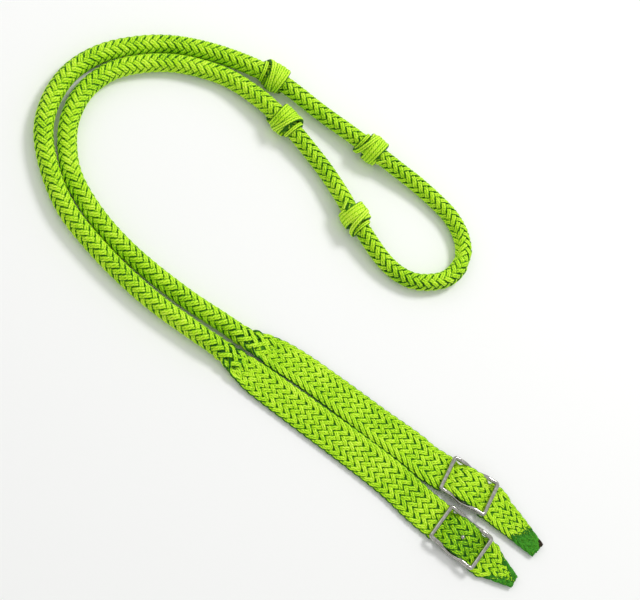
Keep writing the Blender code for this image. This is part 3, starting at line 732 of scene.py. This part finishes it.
def knot_piece(name, station, pinch, way):
    """A bundle wound round the braid and crossed back over itself, pinched at one side."""
    core = round_diameter(np.array([station]))[0] / 2
    full = KNOT_DIAMETER / 2 - WRAP_BUNDLE["Thickness"] / 2 + KNOT_PROUD
    share = np.linspace(0.0, 1.0, 170)
    start = pinch + way * 0.5
    angle = start + way * math.tau * WRAP_TURNS * share
    fan = 0.82 + 0.18 * np.cos(angle - pinch - np.pi)
    offset = mix(-0.0080, 0.0096, share) * fan
    radius = mix(core + 0.0010, full, np.sin(np.pi * mix(0.16, 0.86, share)) ** 0.55)
    wrap = wound(station, offset, angle, radius + 0.0006 * np.cos(angle - pinch - np.pi), tone=0.3)
    share = np.linspace(0.0, 1.0, 80)
    angle = math.pi / 2 + way * mix(-2.0, 2.1, share)
    offset = mix(-0.0122, 0.0022, share)
    radius = mix(core + 0.0004, full + 0.0014, np.sin(np.pi * mix(0.10, 0.80, share)) ** 0.8)
    cross = wound(station, offset, angle, radius, size=0.92, tone=0.9)
    angle = math.pi / 2 - way * mix(-1.7, 1.9, share)
    offset = mix(-0.0100, -0.0128, share)
    band = wound(station, offset, angle, np.full(len(share), core + 0.0008), size=0.75, tone=0.1)
    share = np.linspace(0.0, 1.0, 24)
    tail = wound(station, mix(0.0088, 0.0150, share), start + way * math.tau * WRAP_TURNS + way * 0.7 * share,
                 mix(full - 0.001, core - 0.0002, ease(share)), size=mix(0.7, 0.45, share), tone=0.9)
    piece = swept(name, [wrap, cross, band, tail], WRAP, SWEEP, **WRAP_BUNDLE)
    k = int(np.searchsorted(LINE.station, station))
    reach = int(0.0088 / STEP)
    turns = np.linspace(0, math.tau, 20, endpoint=False)
    rings = []
    for j in range(-reach, reach + 1):
        swell = math.sin(math.pi * (j + reach + 0.6) / (2 * reach + 1.2)) ** 0.5
        radius = mix(core - 0.0004, KNOT_DIAMETER / 2 - 0.0040, swell)
        rings.append(LINE.centre[k + j] + np.outer(np.cos(turns) * radius, LINE.left[k + j])
                     + np.outer(np.sin(turns) * radius, LINE.up[k + j]))
    faces = [(r * 20 + i, r * 20 + (i + 1) % 20, (r + 1) * 20 + (i + 1) % 20, (r + 1) * 20 + i)
             for r in range(len(rings) - 1) for i in range(20)]
    faces += [tuple(range(20))[::-1], tuple((len(rings) - 1) * 20 + i for i in range(20))]
    add_tube(piece, np.concatenate(rings), faces, DEPTH)
    return piece


# ---- buckles ------------------------------------------------------------------------------
def rail_height(x):
    """The rails step down from the end bars to the centre bar."""
    return mix(CENTRE_BAR_Z, END_BAR_Z, ease(np.abs(x) / DIP_X))


def frame_path():
    """The bent frame's centre line, end bars joined by rails that dip to the centre bar."""
    path = []
    for sx, sy, first in ((1, 1, 0), (-1, 1, 90), (-1, -1, 180), (1, -1, 270)):
        for angle in np.radians(np.linspace(first, first + 90, 9)):
            path.append((sx * (END_BAR_X - FRAME_CORNER) + FRAME_CORNER * math.cos(angle),
                         sy * (RAIL_Y - FRAME_CORNER) + FRAME_CORNER * math.sin(angle), END_BAR_Z))
        if first in (0, 180):
            for x in sx * np.linspace(0.96, -0.96, 33) * DIP_X:
                path.append((x, sy * RAIL_Y, float(rail_height(x))))
    return np.array(path)


def placed(points, matrix):
    """Points of the buckle's frame in the model's."""
    return np.array([matrix @ Vector(p) for p in points])


def bar_path(points, matrix, closed):
    """A path for a round bar, with a face normal square to it everywhere."""
    points = placed(points, matrix)
    up = np.array(matrix.to_3x3())[:, 2]
    if closed:
        tangent = unit(np.roll(points, -1, 0) - np.roll(points, 1, 0))
    else:
        tangent = unit(np.gradient(points, axis=0))
    normal = unit(up - tangent * (tangent @ up)[:, None])
    return {"points": points, "normal": normal, "size": 1.0, "closed": closed}


def round_bar(name, path, diameter):
    return swept(name, [path], NICKEL, SWEEP, Width=diameter, Thickness=diameter, Ridge=0.0, Sides=24)


def stud(name, matrix, foot, tip, radius=STUD_RADIUS, sides=24):
    """A pin with a domed tip."""
    levels = [(foot, radius)] + [(tip - radius * (1 - math.sin(a)), radius * math.cos(a))
                                 for a in np.linspace(0, math.pi / 2 * 0.97, 8)]
    bm = bmesh.new()
    rings = [[bm.verts.new(matrix @ Vector((r * math.cos(t), r * math.sin(t), z)))
              for t in np.linspace(0, math.tau, sides, endpoint=False)] for z, r in levels]
    for low, high in zip(rings, rings[1:]):
        for i in range(sides):
            bm.faces.new((low[i], low[(i + 1) % sides], high[(i + 1) % sides], high[i])).smooth = True
    bm.faces.new(rings[0][::-1])
    bm.faces.new(rings[-1])
    mesh = bpy.data.meshes.new(name)
    bm.to_mesh(mesh)
    bm.free()
    mesh.materials.append(NICKEL)
    made = bpy.data.objects.new(name, mesh)
    bpy.context.scene.collection.objects.link(made)
    return made


# ---- the object ---------------------------------------------------------------------------
END = {"outer": float(LINE.station[0]), "inner": float(LINE.station[-1])}
SEAL = {"outer": -2 * JOIN_X - OUTER_SEAL_FROM, "inner": ROUTE.length + 2 * JOIN_X + INNER_SEAL_FROM}
MIDDLE = {"outer": -JOIN_X, "inner": ROUTE.length + JOIN_X}
JOIN = {"outer": 0.0, "inner": ROUTE.length}
JUNCTION = {"outer": S_OUTER_JUNCTION, "inner": S_INNER_JUNCTION}
REAR = {"outer": S_OUTER_REAR, "inner": S_INNER_REAR}
INTO = {"outer": -1.0, "inner": 1.0}          # sense of the route towards the tip
STRAP_FROM = 0.020           # the strap piece starts this far up the leg from the junction
HELD_FROM = 0.0125           # the held piece starts this far before the buckle's braid


def seal_amount():
    """How far each strand is melted: 0 lime, 1 dark, more where it is scorched."""
    for p in PATHS:
        across = np.sum((p["points"] - LINE.centre) * LINE.left, axis=1) / (LINE.width / 2)
        outer_from = LINE.station - END["outer"]
        inner_from = END["inner"] - LINE.station
        outer = (0.003 + 0.027 * np.abs(across) ** 1.6 - outer_from) / 0.010 + 0.5
        inner = (0.021 - 0.004 * across - inner_from) / 0.010 + 0.5
        scorch = np.exp(-((inner_from - 0.002) ** 2 + (LINE.width * (across - 0.8) / 2) ** 2) / 0.0035 ** 2)
        p["seal"] = np.where(LINE.station < S_OUTER_REAR, np.clip(outer, 0, 1),
                             np.clip(inner, 0, 1) + scorch)


def shade_held_braid():
    """The braid held by the outer buckle is a darker, olive green."""
    held = ease(1.6 - 1.6 * np.abs(LINE.station + JOIN_X) / (END_BAR_X - FRAME_BAR / 2) + 0.6)
    for p in PATHS:
        p["tone"] = p["tone"] - 2.6 * held


def span(name, a, b, material=None):
    return braid_piece(name, min(a, b), max(a, b), material)


def declare(piece, nodes):
    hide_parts(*nodes)
    return piece


def strap_side(side, matrix, proud):
    """One rein end: strap, buckle, tip, and the leg behind them."""
    way = INTO[side]
    join, far_join = JOIN[side], JOIN[side] + way * 2 * JOIN_X
    root = JUNCTION[side] - way * STRAP_FROM
    end_start = join - way * HELD_FROM

    leg = span(f"{side}_leg_strands", root, REAR[side])
    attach(leg, "legs")
    declare(leg, [f"{side}_leg_braid"])
    strap = span(f"{side}_strap_strands", root, end_start)
    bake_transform(strap)
    declare(strap, [f"{side}_strap_braid"])
    held = span(f"{side}_buckle_strands", end_start, MIDDLE[side])
    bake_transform(held)
    declare(held, [f"{side}_buckle_braid"])
    free = span(f"{side}_tip_strands", MIDDLE[side], SEAL[side])
    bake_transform(free)
    declare(free, [f"{side}_tip_braid"])
    seal = span(f"{side}_tip_sealed_end", SEAL[side], END[side], SEALED)
    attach(seal, f"{side}_tip")
    declare(seal, [f"{side}_tip_seal"])

    body = f"{side}_buckle"
    reach = RAIL_Y - 0.0008
    foot = CENTRE_BAR_Z + CENTRE_BAR / 2 - 0.0004
    frame_line = bar_path(frame_path(), matrix, True)
    centre_line = bar_path([(0, y, CENTRE_BAR_Z) for y in np.linspace(-reach, reach, 9)], matrix, False)
    metal = [(round_bar(f"{side}_frame_wire", frame_line, FRAME_BAR), "frame"),
             (round_bar(f"{side}_centre_wire", centre_line, CENTRE_BAR), "centre_bar"),
             (stud(f"{side}_keeper_stud", matrix, foot, BULGE_RISE + HALF_STRAP + proud), "stud")]
    for piece, node in metal:
        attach(piece, body)
        declare(piece, [f"{side}_buckle_{node}"])


seal_amount()
shade_held_braid()
strap_side("outer", OUTER_FRAME, 0.0010)
strap_side("inner", INNER_FRAME, -0.0018)
loop = span("loop_strands", S_OUTER_REAR, S_INNER_REAR)
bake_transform(loop)
declare(loop, ["loop_braid"])
for name, body, pinch, way in (("outer_rear_knot", "legs", 3.6, 1), ("inner_rear_knot", "legs", 0.2, -1),
                               ("outer_front_knot", "loop", 3.4, -1), ("inner_front_knot", "loop", 0.1, 1)):
    knot = knot_piece(name.replace("knot", "wrap"), KNOTS[name], pinch, way)
    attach(knot, body)
    declare(knot, [name])


# ---- stage --------------------------------------------------------------------------------
FLOOR_HEIGHT = -0.0004


def pale_floor():
    made, tree, shader = new_material("pale_floor")
    shader.inputs["Base Color"].default_value = linear("F7F6F6")
    shader.inputs["Roughness"].default_value = 0.9
    bpy.ops.mesh.primitive_plane_add(size=8.0, location=(0.0, 0.0, FLOOR_HEIGHT))
    floor = bpy.context.object
    floor.name = "floor"
    floor.data.materials.append(made)
    return floor


def soft_light(name, place, size, power):
    data = bpy.data.lights.new(name, "AREA")
    data.shape = "DISK"
    data.size = size
    data.energy = power
    lamp = bpy.data.objects.new(name, data)
    bpy.context.scene.collection.objects.link(lamp)
    lamp.location = place
    lamp.rotation_euler = (-Vector(place)).to_track_quat("-Z", "Y").to_euler()
    return lamp


pale_floor()
soft_light("key_light", (1.1, 1.0, 1.7), 0.7, 24.0)
soft_light("fill_light", (-1.2, 0.9, 1.5), 1.6, 3.0)
world = bpy.data.worlds.new("studio")
world.use_nodes = True
sky = world.node_tree
direction = add(sky, "ShaderNodeTexCoord").outputs["Generated"]
height = add(sky, "ShaderNodeSeparateXYZ", Vector=direction).outputs["Z"]
sky.links.new(ramp(sky, height, ((0.0, "BCBEBC"), (0.8, "D8DAD8"))),
              sky.nodes["Background"].inputs["Color"])
sky.nodes["Background"].inputs["Strength"].default_value = 1.0
bpy.context.scene.world = world
bpy.context.scene.view_settings.view_transform = "Standard"

TARGET = Vector((0.0292, 0.0067, 0.0))
DISTANCE = 1.5
ELEVATION = math.radians(62.0)
BEARING = math.radians(45.0)        # far direction on the floor
ROLL = math.radians(45.0)           # turns +X to the right of the view
look = Vector((math.cos(ELEVATION) * math.cos(BEARING), math.cos(ELEVATION) * math.sin(BEARING),
               -math.sin(ELEVATION)))
sideways = look.cross(Vector((0, 0, 1))).normalized()
upright = sideways.cross(look)
right = sideways * math.cos(ROLL) + upright * math.sin(ROLL)
above = upright * math.cos(ROLL) - sideways * math.sin(ROLL)
camera = bpy.data.objects.new("camera", bpy.data.cameras.new("camera"))
bpy.context.scene.collection.objects.link(camera)
camera.data.sensor_width = 36.0
camera.data.lens = 99.26
camera.data.clip_end = 20.0
turned = Matrix((right, above, -look)).transposed().to_4x4()
camera.matrix_world = Matrix.Translation(TARGET - look * DISTANCE) @ turned
bpy.context.scene.camera = camera
